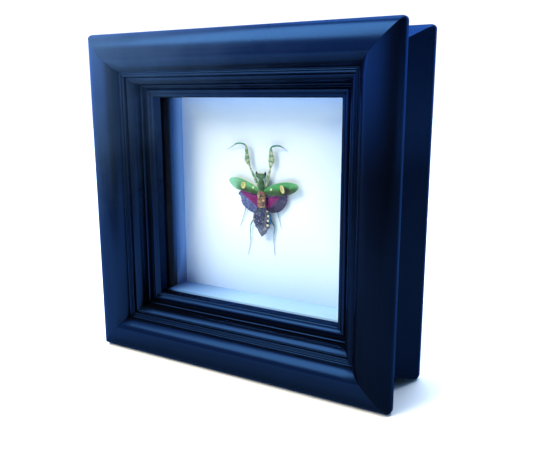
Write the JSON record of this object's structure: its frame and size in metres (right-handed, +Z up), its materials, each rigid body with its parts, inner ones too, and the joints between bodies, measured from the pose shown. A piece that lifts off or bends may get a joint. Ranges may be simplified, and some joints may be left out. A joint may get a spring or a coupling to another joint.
{
  "type": "framed mantis specimen",
  "caption": "Spread flower mantis fixed in a white glazed box between two deep moulded square frames set back to back, standing on its lower edge.",
  "frame": {"origin": "middle of the lower edge of the frame, halfway through its depth, on the surface it stands on", "axes": "+Z up, the specimen faces -Y, +X to the viewer's right"},
  "size_m": [0.2, 0.0636, 0.2],
  "materials": {
    "black_paint": "satin black paint on moulded wood",
    "glass": "clear, smooth",
    "white_board": "matt white",
    "hardboard": "plain brown board",
    "steel": "small pressed points",
    "green_wing": "dried leathery forewing with a yellow eyespot",
    "magenta_wing": "dried pleated hindwing, magenta to dark violet",
    "green_body": "dried green head and forelegs with tan bands",
    "brown_body": "dried thorax, green to speckled brown",
    "grey_body": "dried grey-violet abdomen with cream spots",
    "pale_leg": "dried pale green legs",
    "glue": "dried clear glue"
  },
  "bodies": {
    "root": {"front_rail_top": "black_paint", "back_rail_top": "black_paint", "white_wall_top": "white_board", "front_rail_bottom": "black_paint", "back_rail_bottom": "black_paint", "white_wall_bottom": "white_board", "front_rail_left": "black_paint", "back_rail_left": "black_paint", "white_wall_left": "white_board", "front_rail_right": "black_paint", "back_rail_right": "black_paint", "white_wall_right": "white_board", "spacer_top": "black_paint", "spacer_left": "black_paint", "spacer_right": "black_paint", "glass_pane": "glass", "mount_board": "white_board", "backing_board": "hardboard", "backing_point_1": "steel", "backing_point_2": "steel", "backing_point_3": "steel", "backing_point_4": "steel", "backing_point_5": "steel", "backing_point_6": "steel", "backing_point_7": "steel", "backing_point_8": "steel", "mantis_head": "green_body", "mantis_thorax": "brown_body", "mantis_abdomen": "grey_body", "forewing_left": "green_wing", "forewing_right": "green_wing", "hindwing_left": "magenta_wing", "hindwing_right": "magenta_wing", "foreleg_left": "green_body", "foreleg_right": "green_body", "midleg_left": "pale_leg", "midleg_right": "pale_leg", "hindleg_left": "pale_leg", "hindleg_right": "pale_leg", "glue_dab": "glue"}
  },
  "joints": []
}
